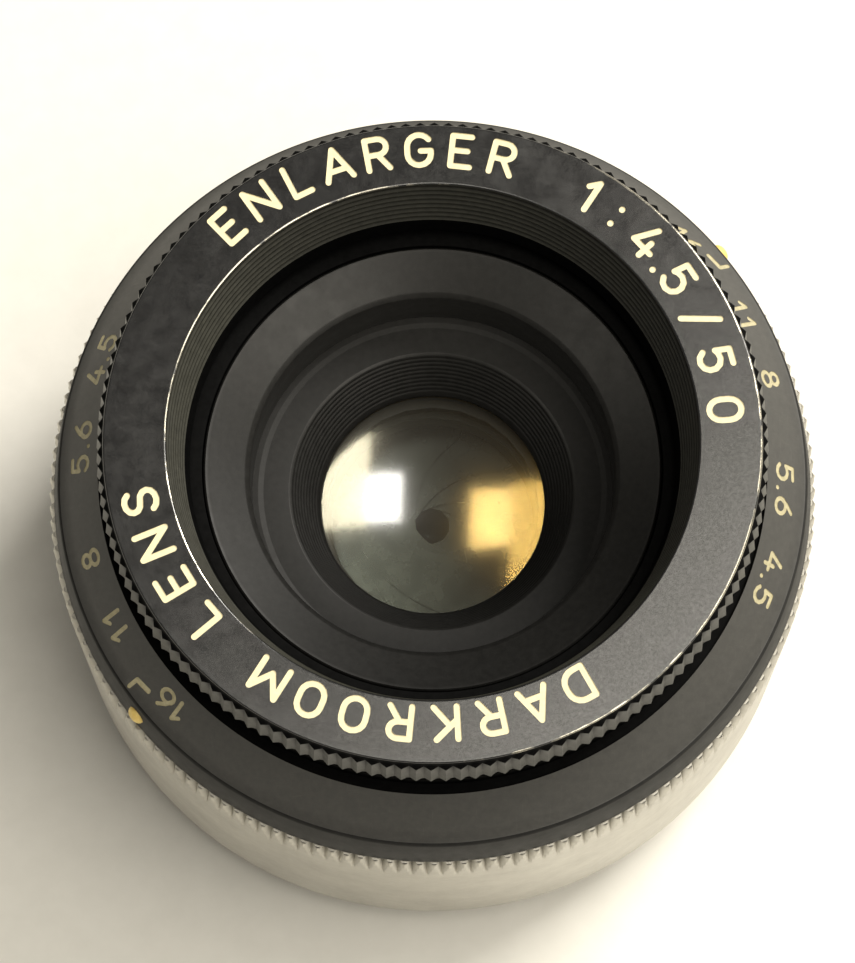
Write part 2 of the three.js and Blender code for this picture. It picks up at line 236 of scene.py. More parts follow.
# Each glyph is its width and its strokes, on a height of 1.
GLYPHS = {
    "A": (0.84, [[(0, 0), (0.42, 1), (0.84, 0)], [(0.13, 0.3), (0.71, 0.3)]]),
    "D": (0.72, [[(0, 0), (0, 1), (0.3, 1)] + bow((0.3, 0.58), (0.42, 0.42), 90, 0, 5)
                 + bow((0.3, 0.42), (0.42, 0.42), 0, -90, 5) + [(0, 0)]]),
    "E": (0.6, [[(0.6, 1), (0, 1), (0, 0), (0.6, 0)], [(0, 0.52), (0.5, 0.52)]]),
    "G": (0.74, [bow((0.37, 0.63), (0.37, 0.37), 35, 180) + bow((0.37, 0.37), (0.37, 0.37), 180, 360)
                 + [(0.74, 0.47), (0.42, 0.47)]]),
    "K": (0.7, [[(0, 0), (0, 1)], [(0.66, 1), (0, 0.4)], [(0.22, 0.6), (0.7, 0)]]),
    "L": (0.56, [[(0, 1), (0, 0), (0.56, 0)]]),
    "M": (0.88, [[(0, 0), (0, 1), (0.44, 0.32), (0.88, 1), (0.88, 0)]]),
    "N": (0.74, [[(0, 0), (0, 1), (0.74, 0), (0.74, 1)]]),
    "O": (0.74, [OVAL]),
    "R": (0.66, [[(0, 0), (0, 1), (0.38, 1)] + bow((0.38, 0.74), (0.27, 0.26), 90, -90) + [(0, 0.48)],
                 [(0.34, 0.48), (0.66, 0)]]),
    "S": (0.66, [bow((0.33, 0.755), (0.31, 0.245), 25, 270) + bow((0.33, 0.255), (0.33, 0.255), 90, -155)]),
    "0": (0.66, [[(x * 0.9, y) for x, y in OVAL]]),
    "1": (0.26, [[(0, 0.74), (0.26, 1), (0.26, 0)]]),
    "4": (0.72, [[(0.36, 1), (0, 0.27), (0.72, 0.27)], [(0.5, 0.55), (0.5, 0)]]),
    "5": (0.64, [[(0.58, 1), (0.1, 1), (0.05, 0.55)] + bow((0.31, 0.33), (0.33, 0.33), 120, -150)]),
    "6": (0.64, [bow((0.32, 0.31), (0.32, 0.31), 0, 360, 14), [(0.5, 1), (0.2, 0.7), (0.0, 0.31)]]),
    "8": (0.64, [bow((0.32, 0.76), (0.26, 0.24), 0, 360, 12), bow((0.32, 0.26), (0.32, 0.26), 0, 360, 14)]),
    ":": (0.0, [[(0, 0.12), (0, 0.14)], [(0, 0.7), (0, 0.72)]]),
    ".": (0.0, [[(0, 0.02), (0, 0.04)]]),
    "/": (0.5, [[(0, -0.06), (0.5, 1.06)]]),
}


def capsule(start, end, half):
    """The outline of a stroke with round ends."""
    start, end = np.array(start, float), np.array(end, float)
    heading = math.degrees(math.atan2(*(end - start)[::-1]))
    caps = [start + polar(half, heading + a) for a in range(90, 271, 30)]
    caps += [end + polar(half, heading + a) for a in range(-90, 91, 30)]
    return caps


def engrave(build, inner, outer, segments, height_at, normal, strokes, depth, rings=()):
    """Adds an annulus with painted strokes sunk into it: slot 0 is its metal, slot 1 the paint.

    height_at gives the surface's height at a radius, and normal its (radial, axial) direction.
    """
    points, faces = [], []
    for radius in (outer, inner, *rings):
        base = len(points)
        points += [polar(radius, 360 * s / segments) for s in range(segments)]
        faces.append(list(range(base, base + segments)))
    for stroke in strokes:
        base = len(points)
        points += stroke
        faces.append(list(range(base, base + len(stroke))))
    made, _, cells, _, _, owners = delaunay_2d_cdt([Vector(p) for p in points], [], faces, 1, 1e-5)
    paint_from = 2 + len(rings)
    painted = [any(o >= paint_from for o in owner) for owner in owners]
    kept = [0 in owner and 1 not in owner for owner in owners]
    top, floor = [], []
    for p in made:
        radius = p.length
        out = p / radius
        z = height_at(radius)
        top.append((p.x, p.y, z))
        sunk = p - out * depth * normal[0]
        floor.append((sunk.x, sunk.y, z - depth * normal[1]))
    count = len(top)
    made_faces, slots, edges = [], [], {}
    for cell, keep, paint in zip(cells, kept, painted):
        if not keep:
            continue
        made_faces.append([k + count for k in cell] if paint else list(cell))
        slots.append(1 if paint else 0)
        for a, b in zip(cell, cell[1:] + cell[:1]):
            edges.setdefault(frozenset((a, b)), []).append((a, b, paint))
    for sides in edges.values():
        if len(sides) == 2 and sides[0][2] != sides[1][2]:
            a, b, _ = next(side for side in sides if side[2])
            made_faces.append([a, b, b + count, a + count])
            slots.append(1)
    used = sorted({k for face in made_faces for k in face})
    place = {k: i for i, k in enumerate(used)}
    everything = top + floor
    add_faces(build, [everything[k] for k in used], [[place[k] for k in f] for f in made_faces], slots)


def place_glyph(character, angle, radius, height, half, squeeze=1.0, centre=(0, 0)):
    """Stroke outlines of a glyph that reads clockwise with its top outwards.

    squeeze shortens radial lengths, for a surface that slopes away.
    """
    width, polylines = GLYPHS[character]
    outward = polar(1, angle)
    clockwise = np.array([outward[1], -outward[0]])
    outlines = []
    for line in polylines:
        local = [((x - width / 2) * height, (y - 0.5) * height) for x, y in line]
        for start, end in zip(local, local[1:]):
            outlines.append([
                np.array(centre) + clockwise * x + outward * (radius + y * squeeze)
                for x, y in capsule(start, end, half)
            ])
    return outlines


def name_ring_strokes():
    """The words and the lens data on the front face, engraved a little off its centre."""
    off_centre = (-0.15, 0.35)
    radius, height, half = 15.56, 1.7, 0.165
    words = [("ENLARGER", 133.8, 75.8), ("DARKROOM LENS", 299.7, 194.4)]
    marks = []
    for word, first, last in words:
        step = (last - first) / (len(word) - 1)
        marks += [(c, first + step * i) for i, c in enumerate(word) if c != " "]
    marks += zip("1:4.5/50", (57.3, 50.3, 42.4, 37.2, 32.7, 23.6, 15.0, 4.7))
    strokes = []
    for character, angle in marks:
        strokes += place_glyph(character, angle, radius, height, half, centre=off_centre)
    return strokes


def stop_angle(number):
    """Where an f-number's mark is: the hole's diameter grows evenly as the ring turns."""
    wide, narrow = 1 / 4.5, 1 / 16
    return MARK_16 - SCALE_SPREAD * (1 / number - narrow) / (wide - narrow)


def scale_strokes(squeeze):
    """Two opposite f-number scales. The 16 stands aside, with a leader to its true place."""
    radius, height, half = 19.0, 1.28, 0.12
    strokes = []
    for side in (0, 180):
        for number in (4.5, 5.6, 8, 11, 16):
            text = str(number)
            angle = stop_angle(number) + side + (6.0 if number == 16 else 0)
            spread = {"4.5": 2.9, "5.6": 2.9, "11": 3.1, "16": 3.1}.get(text, 0)
            for i, character in enumerate(text):
                turn = angle + spread * ((len(text) - 1) / 2 - i)
                strokes += place_glyph(character, turn, radius, height, half, squeeze)
        mark = MARK_16 - 1.4 + side
        elbow = [polar(20.0, mark), polar(19.5, mark + 0.2), polar(19.4, mark + 2.9)]
        for start, end in zip(elbow, elbow[1:]):
            strokes.append(capsule(start, end, half))
    return strokes


# ---------------------------------------------------------------- materials


def nodes_of(name):
    material = bpy.data.materials.new(name)
    material.use_nodes = True
    tree = material.node_tree
    return material, tree, tree.nodes["Principled BSDF"]


def add_node(tree, kind, settings=None, **inputs):
    """Adds a node, sets its properties, and joins or sets its inputs by name."""
    node = tree.nodes.new(kind)
    for key, value in (settings or {}).items():
        setattr(node, key, value)
    for key, value in inputs.items():
        socket = node.inputs[int(key[1:]) if key[0] == "i" and key[1:].isdigit() else key.replace("_", " ")]
        if isinstance(value, bpy.types.NodeSocket):
            tree.links.new(value, socket)
        else:
            socket.default_value = value
    return node


def object_point(tree):
    return add_node(tree, "ShaderNodeTexCoord").outputs["Object"]


def grain(tree, size_mm, detail=3.0, stretch=(1, 1, 1)):
    """Noise with features of about that size."""
    moved = add_node(tree, "ShaderNodeMapping", Vector=object_point(tree), Scale=stretch)
    noise = add_node(tree, "ShaderNodeTexNoise", Vector=moved.outputs["Vector"],
                     Scale=1 / (size_mm * MM), Detail=detail, Roughness=0.6)
    return noise.outputs["Fac"]


def ramp(tree, value, low_at, high_at, to_low=0.0, to_high=1.0):
    """Maps a value's range to another one, held at its ends."""
    return add_node(tree, "ShaderNodeMapRange", Value=value, From_Min=low_at, From_Max=high_at,
                    To_Min=to_low, To_Max=to_high).outputs["Result"]


def blend_colour(tree, factor, first, second):
    node = add_node(tree, "ShaderNodeMix", {"data_type": "RGBA"}, i0=factor)
    for index, value in ((6, first), (7, second)):
        if isinstance(value, bpy.types.NodeSocket):
            tree.links.new(value, node.inputs[index])
        else:
            node.inputs[index].default_value = (*value, 1)
    return node.outputs[2]


def times(tree, first, second):
    return add_node(tree, "ShaderNodeMath", {"operation": "MULTIPLY"}, i0=first, i1=second).outputs[0]


def larger(tree, first, second):
    return add_node(tree, "ShaderNodeMath", {"operation": "MAXIMUM"}, i0=first, i1=second).outputs[0]


def bump(tree, shader, height, strength, distance_mm):
    node = add_node(tree, "ShaderNodeBump", Strength=strength, Distance=distance_mm * MM, Height=height)
    tree.links.new(node.outputs["Normal"], shader.inputs["Normal"])


def axis_distance(tree):
    """The distance of a point from the optical axis, in metres, and its height."""
    split = add_node(tree, "ShaderNodeSeparateXYZ", Vector=object_point(tree))
    flat = add_node(tree, "ShaderNodeCombineXYZ", X=split.outputs["X"], Y=split.outputs["Y"])
    length = add_node(tree, "ShaderNodeVectorMath", {"operation": "LENGTH"}, i0=flat.outputs[0])
    return length.outputs["Value"], split.outputs["Z"]


def towards(tree, bearing):
    """1 on the side of the optical axis at a bearing in degrees, falling to 0 on the other side."""
    angle = math.radians(bearing)
    side = add_node(tree, "ShaderNodeVectorMath", {"operation": "DOT_PRODUCT"}, i0=object_point(tree),
                    i1=(math.cos(angle), math.sin(angle), 0))
    return ramp(tree, side.outputs["Value"], 2 * MM, 9 * MM)


def near(tree, value, place_mm, width_mm):
    """1 where a metre value is at a place, falling to 0 within a width."""
    gap = add_node(tree, "ShaderNodeMath", {"operation": "SUBTRACT"}, i0=value, i1=place_mm * MM)
    size = add_node(tree, "ShaderNodeMath", {"operation": "ABSOLUTE"}, i0=gap.outputs[0])
    return ramp(tree, size.outputs[0], 0, width_mm * MM, 1, 0)


def black_metal(name, dark, light, rough, metallic=0.0, wear_and_highlight=(), scratches=0.0, speckle=0.1, ior=1.5,
                sunk=None, leather=0.0):
    """Anodised or painted black: mottled colour, uneven sheen, faint scratches, worn edges with painted
    highlights, and painted shade in grooves.

    Each wear and highlight entry is (radius, height, width, side): a place painted as bright bare metal.
    With side None it is wear all round. With side a bearing in degrees it is held to that side, as a painted
    highlight where light catches the edge. sunk is the range of radius over which painted shade in the
    bottom of grooves thins out. leather is how much the sheen varies in a fine grain.
    """
    material, tree, shader = nodes_of(name)
    mottle = ramp(tree, grain(tree, 0.35, 5), 0.3, 0.7)
    colour = blend_colour(tree, mottle, dark, light)
    dust = ramp(tree, grain(tree, 0.06, 2), 0.72, 0.8, 0, speckle)
    colour = blend_colour(tree, dust, colour, (0.45, 0.43, 0.38))
    if scratches:
        lines = [ramp(tree, grain(tree, 1.0, 2, stretch), 0.66, 0.7, 0, scratches)
                 for stretch in ((14, 0.5, 1), (0.6, 12, 1), (9, 9, 0.4))]
        both = larger(tree, larger(tree, lines[0], lines[1]), lines[2])
        colour = blend_colour(tree, both, colour, (0.3, 0.29, 0.26))
    shader.inputs["Metallic"].default_value = metallic
    shader.inputs["IOR"].default_value = ior
    # Painted shade: near-black colour and a weaker specular in the bottom of grooves.
    if sunk:
        unshaded = ramp(tree, axis_distance(tree)[0], sunk[0] * MM, sunk[1] * MM)
        colour = blend_colour(tree, unshaded, (0.002, 0.002, 0.002), colour)
        tree.links.new(ramp(tree, unshaded, 0, 1, 0.1, 0.5), shader.inputs["Specular IOR Level"])
    # Bright bare metal painted at the listed places: wear where it runs all round, a painted highlight where it
    # is held to one side.
    if wear_and_highlight:
        radius, height = axis_distance(tree)
        patchy = ramp(tree, grain(tree, 1.6, 4), 0.36, 0.56)
        mask = None
        for place, level, width, side in wear_and_highlight:
            ring = times(tree, near(tree, radius, place, width), near(tree, height, level, width))
            if side is not None:
                ring = times(tree, ring, towards(tree, side))
            ring = ramp(tree, times(tree, ring, patchy), 0.15, 0.45)
            mask = ring if mask is None else larger(tree, mask, ring)
        colour = blend_colour(tree, mask, colour, (0.5, 0.47, 0.39))
        tree.links.new(ramp(tree, mask, 0, 1, metallic, 1), shader.inputs["Metallic"])
    tree.links.new(colour, shader.inputs["Base Color"])
    sheen = ramp(tree, grain(tree, 0.9, 5), 0.25, 0.75, rough - 0.05, rough + 0.06)
    tree.links.new(sheen, shader.inputs["Roughness"])
    if leather:
        pores = ramp(tree, grain(tree, 0.16, 4), 0.35, 0.65, 0.5 - leather, 0.5 + leather)
        tree.links.new(pores, shader.inputs["Specular IOR Level"])
    bump(tree, shader, grain(tree, 0.05, 4), 0.25, 0.01)
    return material


def satin_chrome():
    """Blasted and plated brass, with a fine grain, turning marks, a few dull patches and painted shade in the
    groove roots near the top.
    """
    material, tree, shader = nodes_of("satin_chrome")
    cloud = ramp(tree, grain(tree, 3.0, 5), 0.3, 0.7)
    colour = blend_colour(tree, cloud, (0.45, 0.43, 0.385), (0.56, 0.54, 0.485))
    pits = ramp(tree, grain(tree, 0.12, 3), 0.68, 0.8, 0, 0.5)
    colour = blend_colour(tree, pits, colour, (0.32, 0.3, 0.26))
    # Painted shade: the groove roots near the top of the barrel, under the band, are painted dark.
    radius, height = axis_distance(tree)
    sunk = times(tree, ramp(tree, radius, 20.96 * MM, 20.6 * MM), near(tree, height, BARREL_TOP, 3.5))
    colour = blend_colour(tree, sunk, colour, (0.1, 0.095, 0.08))
    tree.links.new(colour, shader.inputs["Base Color"])
    shader.inputs["Metallic"].default_value = 1
    sheen = ramp(tree, grain(tree, 0.5, 5), 0.25, 0.75, 0.34, 0.46)
    tree.links.new(sheen, shader.inputs["Roughness"])
    turning = grain(tree, 0.4, 2, (0.05, 0.05, 6))
    both = add_node(tree, "ShaderNodeMath", {"operation": "ADD"}, i0=turning, i1=grain(tree, 0.05, 3))
    bump(tree, shader, both.outputs[0], 0.25, 0.012)
    return material


def bare_metal(name, dark, light, rough, stretch=(1, 1, 1)):
    """Machined or burnished metal with fine marks."""
    material, tree, shader = nodes_of(name)
    marks = grain(tree, 0.2, 4, stretch)
    tree.links.new(blend_colour(tree, ramp(tree, marks, 0.3, 0.7), dark, light), shader.inputs["Base Color"])
    shader.inputs["Metallic"].default_value = 0.9
    tree.links.new(ramp(tree, marks, 0.3, 0.7, rough, rough + 0.12), shader.inputs["Roughness"])
    bump(tree, shader, marks, 0.2, 0.01)
    return material


def blade_metal():
    """Dark polished spring steel, with painted shade that darkens the blades towards the upper right."""
    material, tree, shader = nodes_of("blade_steel")
    # Painted shade: the colour darkens towards the upper right, where the rim of the well shades the blades.
    split = add_node(tree, "ShaderNodeSeparateXYZ", Vector=object_point(tree))
    across = add_node(tree, "ShaderNodeMath", {"operation": "MULTIPLY_ADD"}, i0=split.outputs["Y"], i1=0.35,
                      i2=split.outputs["X"])
    painted_darkening = ramp(tree, across.outputs[0], -5.5 * MM, 2.5 * MM)
    streaks = ramp(tree, grain(tree, 1.6, 4), 0.3, 0.7)
    unshaded = blend_colour(tree, streaks, (0.034, 0.034, 0.031), (0.058, 0.058, 0.053))
    tree.links.new(blend_colour(tree, painted_darkening, unshaded, (0.006, 0.0055, 0.005)), shader.inputs["Base Color"])
    shader.inputs["Metallic"].default_value = 0.95
    tree.links.new(ramp(tree, streaks, 0, 1, 0.24, 0.3), shader.inputs["Roughness"])
    bump(tree, shader, grain(tree, 0.3, 3), 0.05, 0.01)
    return material


def paint_fill(name, colour, shade):
    """Paint wiped into an engraving: slightly uneven in colour, with a soft sheen."""
    material, tree, shader = nodes_of(name)
    patchy = ramp(tree, grain(tree, 0.25, 4), 0.3, 0.75)
    tree.links.new(blend_colour(tree, patchy, shade, colour), shader.inputs["Base Color"])
    tree.links.new(ramp(tree, grain(tree, 0.2, 3), 0.3, 0.7, 0.4, 0.6), shader.inputs["Roughness"])
    bump(tree, shader, grain(tree, 0.07, 3), 0.3, 0.01)
    return material


def coated_glass(name, reflection, strength, haze=0.0):
    """Clear glass whose coating colours what it mirrors. Light passes straight through.

    haze is the share of the reflection that spreads wide, as on slightly hazy old glass.
    """
    material, tree, shader = nodes_of(name)
    tree.nodes.remove(shader)
    output = tree.nodes["Material Output"]
    smear = ramp(tree, grain(tree, 4.0, 4), 0.3, 0.8, 0.09, 0.13)
    sharp = add_node(tree, "ShaderNodeBsdfAnisotropic", Color=(*reflection, 1), Roughness=smear)
    veil = add_node(tree, "ShaderNodeBsdfAnisotropic", Color=(*reflection, 1), Roughness=0.42)
    mirror = add_node(tree, "ShaderNodeMixShader", i0=haze, i1=sharp.outputs[0], i2=veil.outputs[0])
    clear = add_node(tree, "ShaderNodeBsdfTransparent", Color=(0.96, 0.97, 0.95, 1))
    facing = add_node(tree, "ShaderNodeFresnel", IOR=1.6)
    share = ramp(tree, facing.outputs[0], 0.0, 1.0, 0.0, strength)
    mix = add_node(tree, "ShaderNodeMixShader", i0=share, i1=clear.outputs[0], i2=mirror.outputs[0])
    tree.links.new(mix.outputs[0], output.inputs["Surface"])
    return material


def all_materials():
    """One material for each finish, by name."""
    return {
        # The name ring's edges are bright metal only on the side where light catches them: wear plus a painted
        # highlight.
        "name_ring": black_metal("name_ring_black", (0.006, 0.006, 0.0065), (0.011, 0.0108, 0.0104), 0.2,
                                 wear_and_highlight=[(FACE_INNER - 0.06, FRONT_Z - 0.04, 0.12, 160),
                                       (FACE_OUTER + 0.05, FRONT_Z - 0.03, 0.13, 350)],
                                 scratches=0.03, ior=1.8, leather=0.07),
        # The grip's groove bottoms are painted near-black as shade.
        "grip": black_metal("grip_black", (0.036, 0.0355, 0.03), (0.062, 0.061, 0.051), 0.42, ior=1.7,
                            sunk=(17.4, 17.54)),
        "scale": black_metal("scale_black", (0.037, 0.0358, 0.0325), (0.053, 0.0512, 0.046), 0.48,
                             scratches=0.04, speckle=0.12, ior=1.75),
        "band": black_metal("band_black", (0.012, 0.0118, 0.011), (0.02, 0.0195, 0.018), 0.62, ior=1.35),
        "matt": black_metal("matt_black", (0.007, 0.0068, 0.0062), (0.013, 0.0127, 0.0118), 0.5,
                            speckle=0.1, ior=1.4),
        "rear": black_metal("rear_black", (0.012, 0.012, 0.012), (0.024, 0.024, 0.023), 0.4,
                            wear_and_highlight=[(10.6, 1.2, 0.15, None)], scratches=0.1),
        "ribs": black_metal("rib_black", (0.03, 0.0295, 0.023), (0.05, 0.049, 0.038), 0.36, ior=1.6),
        # Near-black painted shade, for surfaces down in gaps and under overhangs.
        "painted_shade": black_metal("shaded_black", (0.001, 0.001, 0.001), (0.003, 0.003, 0.003), 0.7,
                            speckle=0.02, ior=1.15),
        "chrome": satin_chrome(),
        "blade": blade_metal(),
        "brass": bare_metal("machined_brass", (0.5, 0.37, 0.17), (0.62, 0.47, 0.24), 0.28, (1, 1, 6)),
        "steel": bare_metal("turned_steel", (0.4, 0.4, 0.4), (0.55, 0.55, 0.54), 0.25),
        "letters": paint_fill("cream_paint", (0.88, 0.81, 0.55), (0.78, 0.7, 0.45)),
        "figures": paint_fill("aged_paint", (0.6, 0.54, 0.34), (0.4, 0.36, 0.22)),
        "dot": paint_fill("dot_paint", (1.0, 0.76, 0.25), (0.86, 0.6, 0.16)),
        "front_coat": coated_glass("front_coating", (1.0, 0.97, 0.9), 0.9, 0.11),
        "amber_coat": coated_glass("amber_coating", (1.0, 0.66, 0.22), 0.72, 0.03),
        "clear_coat": coated_glass("clear_coating", (0.75, 0.85, 0.9), 0.5),
    }


look = all_materials()

# ---------------------------------------------------------------- the pieces


def settle(piece, body, finish_slot, *nodes):
    """Puts a finished piece on its body, in place of its CAD nodes."""
    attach(piece, body)
    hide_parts(*nodes)
    return piece


def make_front_ring():
    """The engraved ring: toothed edge, recessed neck and a ribbed cone inside."""
    segments = NAME_TEETH * 6
    grip_floor, grip_top = 28.4, FRONT_Z - 0.44
    crest_top, depth = 17.6, 0.22
    rib_floor = 27.2
    edge = bow((FACE_OUTER, FRONT_Z - 0.1), (0.1, 0.1), 80, 20, 4)
    outside = [(FACE_OUTER, FRONT_Z)] + edge + [(17.36, grip_top + 0.14), (crest_top - 0.03, grip_top + 0.03)]
    outside += [(crest_top, grip_top)]
    outside += [(crest_top + (NAME_RING - crest_top) * k / 5, grip_top - (grip_top - grip_floor - 0.2) * k / 5)
                for k in range(1, 6)]
    outside += [(NAME_RING - depth - 0.01, grip_floor)]
    outside += soften([
        (17.2, grip_floor), (15.85, grip_floor), (15.85, SCALE_LAND + 0.05), (14.4, SCALE_LAND + 0.05),
        (14.4, 24), (13.75, 24), (13.75, 26.2), (13, 26.2),
    ], 0.05, closed=False)
    inside = [(13.02, 26.35)] + ridges((13.2, rib_floor), (13.96, 30.75), 8, -0.12)
    inside += bow((FACE_INNER, FRONT_Z - 0.12), (0.12, 0.12), 180, 90, 5)

    def root_at(height):
        taper = (NAME_RING - crest_top) / (grip_top - grip_floor)
        return NAME_RING - depth - taper * np.clip(height - grip_floor, 0, grip_top - grip_floor)

    grooves = vee_grooves(NAME_TEETH, root_at, depth)

    def relief(radius, height, angles):
        return np.where(radius > 17.3, grooves(radius, height, angles), 0)

    # Slot 3 paints the chamfer above the teeth and the deep inner wall near-black, as painted shade.
    def finish_at(radius, height):
        if radius < FACE_INNER - 0.1:
            return 4 if height > rib_floor else 3
        if radius < 17.3 or height < grip_floor:
            return 0
        return 2 if height < grip_top else 3

    build = bmesh.new()
    sweep(build, outside + inside, segments, relief, closed=False, zone=finish_at)
    engrave(build, FACE_INNER, FACE_OUTER, segments, lambda r: FRONT_Z, (0, 1),
            name_ring_strokes(), 0.045)
    finishes = [look[name] for name in ("name_ring", "letters", "grip", "painted_shade", "ribs")]
    piece = finish_mesh("front_ring_fine", build, finishes, 25, FRONT_Z)
    return settle(piece, "aperture_ring", "name_ring_black", "front_ring")


def make_scale_ring():
    """The conical ring with both f-number scales sunk into it."""
    segments = 360
    rise, run = CONE_TOP_Z - SCALE_FLOOR, SCALE_RIM - CONE_TOP_RADIUS
    slant = math.hypot(rise, run)
    cone_outer, cone_inner = SCALE_RIM - 0.06, CONE_TOP_RADIUS + 0.14

    def height_at(radius):
        return CONE_TOP_Z - (radius - CONE_TOP_RADIUS) * rise / run

    build = bmesh.new()
    step = height_at(cone_inner) - 0.3
    body = [(cone_inner, height_at(cone_inner)), (cone_inner - 0.04, step), (17.35, step),
            (17.3, SCALE_LAND), (15.95, SCALE_LAND), (15.55, SCALE_LAND - 0.1), (15.55, SCALE_FLOOR),
            (SCALE_RIM - 0.05, SCALE_FLOOR), (SCALE_RIM, SCALE_FLOOR + 0.03),
            (cone_outer, height_at(cone_outer))]
    # The step under the front ring is painted near-black, as a painted shadow.
    in_step = lambda radius, height: 2 if radius < cone_inner else 0
    sweep(build, body, segments, closed=False, zone=in_step)
    rings = [cone_inner + (cone_outer - cone_inner) * k / 4 for k in (1, 2, 3)]
    engrave(build, cone_inner, cone_outer, segments, height_at, (rise / slant, run / slant),
            scale_strokes(run / slant), 0.03, rings)
    piece = finish_mesh("scale_ring_fine", build, [look["scale"], look["figures"], look["painted_shade"]])
    return settle(piece, "aperture_ring", "scale_black", "scale_ring")


def make_index_band():
    floor = BARREL_TOP + 0.05
    piece = turned("index_band_fine", [
        (BAND_BORE, floor), (20.75, floor), (20.35, BAND_TOP - 0.12), (20.23, BAND_TOP),
        (16.1, BAND_TOP), (16.1, 21.25), (BAND_BORE, 21.25),
    ], 360, [look["band"]], round_off=0.05)
    return settle(piece, "root", "black_anodised", "index_band")


def make_index_dot(node):
    """A round bead of paint that stands a little proud of the band."""
    middle = (high(node) + low(node)) / 2
    radius, rise = 0.53, 0.34
    dome = [(radius * math.cos(t), rise * math.sin(t)) for t in np.linspace(0, math.pi / 2, 7)]
    build = bmesh.new()
    sweep(build, [(0, -0.45), (radius, -0.45)] + dome, 32, closed=False)
    lean = math.atan2(0.4, 2.65)
    face = Matrix.Rotation(math.atan2(middle.y, middle.x), 4, "Z")
    face = face @ Matrix.Rotation(math.pi / 2 - lean, 4, "Y")
    spot = Vector((middle.x, middle.y, 0)).normalized() * 20.55 + Vector((0, 0, middle.z))
    build.transform(Matrix.Translation(spot * MM) @ face)
    piece = finish_mesh(node + "_fine", build, [look["dot"]], 50)
    return settle(piece, "root", "enamel", node)


def thread_relief(radius, height, angles):
    """A right-hand 60 degree thread below the shoulder, fading out at both ends."""
    turn = angles / (2 * math.pi)
    phase = np.abs((height / THREAD_PITCH - turn) % 1 - 0.5) * 2
    fade = np.clip(np.minimum(height - 0.25, SHOULDER_Z - 0.25 - height) / 0.3, 0, 1)
    wave = np.clip(1.2 * phase - 0.1, 0, 1)
    on_core = (np.abs(radius - THREAD_CORE) < 0.05) & (height < SHOULDER_Z)
    return np.where(on_core, THREAD_DEPTH * wave * fade, 0)


def make_mount_barrel():
    """The chrome body: thread, shoulder, wall, grip grooves and the webs inside."""
    groove_end = 17.6
    relief_radius, relief_top = 19.6, SHOULDER_Z + 0.3

    def root_at(height):
        return BARREL_RADIUS - 0.5 * (height - groove_end) / (BARREL_TOP - groove_end)

    grooves = vee_grooves(GRIP_TEETH, root_at, 0.5)
    lower = soften([(17.4, 0), (THREAD_CORE - 0.3, 0)], 0.08, closed=False)
    threaded = [(THREAD_CORE, z) for z in np.linspace(0.3, relief_top - 0.1, 56)]
    wall = soften([
        (THREAD_CORE, relief_top), (relief_radius, relief_top), (relief_radius, SHOULDER_Z),
        (BARREL_RADIUS - 0.25, SHOULDER_Z), (BARREL_RADIUS, SHOULDER_Z + 0.25), (BARREL_RADIUS, 12),
    ], 0.07, closed=False)
    grip = [(BARREL_RADIUS, z) for z in np.linspace(groove_end, BARREL_TOP - 0.5, 12)]
    grip += [(BARREL_RADIUS - 0.03, BARREL_TOP - 0.2), (BARREL_RADIUS - 0.12, BARREL_TOP - 0.05)]
    webs = soften([
        (BARREL_RADIUS - 0.2, BARREL_TOP), (BAND_BORE, BARREL_TOP), (BAND_BORE, 19.4), (16.2, 19.4),
        (16.2, 17.4), (18.3, 17.4), (18.3, 7), (13, 7), (13, 5), (17.4, 5),
    ], 0.07, closed=False)

    def relief(radius, height, angles):
        cut = np.where(radius > BARREL_RADIUS - 0.45, grooves(radius, height, angles), 0)
        return cut + thread_relief(radius, height, angles)

    build = bmesh.new()
    sweep(build, lower + threaded + wall + grip + webs, GRIP_TEETH * 6, relief)
    piece = finish_mesh("mount_barrel_fine", build, [look["chrome"]], 30)
    return settle(piece, "root", "satin_chrome", "mount_barrel")


